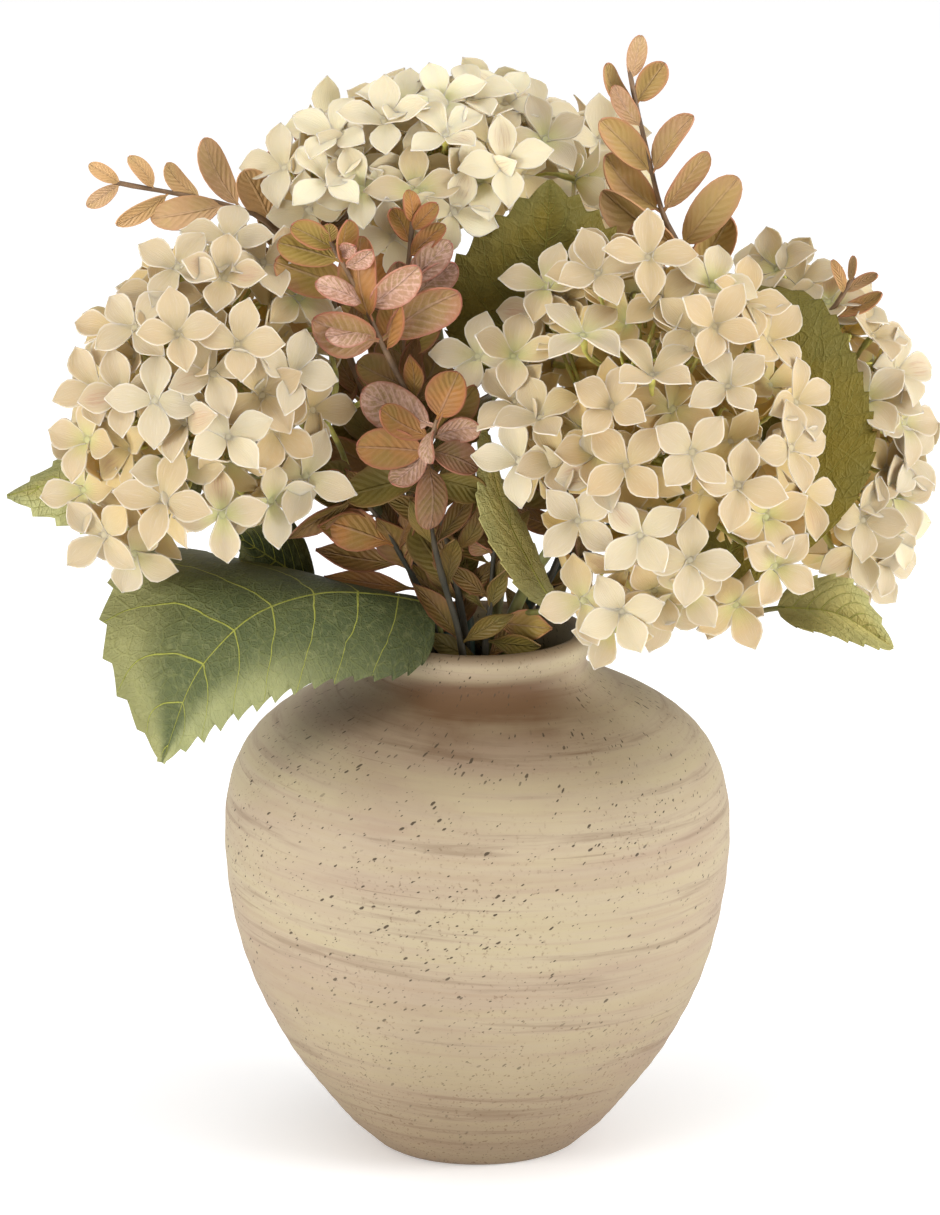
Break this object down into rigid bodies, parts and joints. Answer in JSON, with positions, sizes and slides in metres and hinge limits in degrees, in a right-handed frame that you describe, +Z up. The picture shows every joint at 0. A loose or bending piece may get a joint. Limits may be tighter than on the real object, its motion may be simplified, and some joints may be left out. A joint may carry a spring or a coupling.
{
  "type": "hydrangeas in a vase",
  "caption": "Cut hydrangea heads with large toothed leaves and sprays of small oval leaves, standing in foam in a round-shouldered stoneware vase.",
  "frame": {"origin": "centre of the vase's resting face", "axes": "+Z up along the vase's axis, -Y towards the front that the picture shows, +X to the right in that view"},
  "size_m": [0.3548, 0.232, 0.431],
  "materials": {
    "stoneware": "matt, brushed and speckled",
    "foam": "matt",
    "petal": "soft satin",
    "leaf": "soft satin",
    "spray": "soft satin"
  },
  "bodies": {
    "root": {"vase": "stoneware", "foam": "foam", "stem_right": "leaf", "stem_left": "leaf", "stem_top": "leaf", "stem_far_right": "leaf", "stem_back": "leaf", "leaf_front": "leaf", "bloom_right": "petal", "bloom_left": "petal", "bloom_top": "petal", "bloom_far_right": "petal", "bloom_back": "petal", "spray_front": "spray", "spray_middle": "spray", "spray_centre": "spray", "spray_right_top": "spray", "spray_left": "spray", "spray_low_left": "spray", "spray_far_right": "spray", "spray_back_left": "spray", "spray_low_right": "spray"}
  },
  "joints": []
}
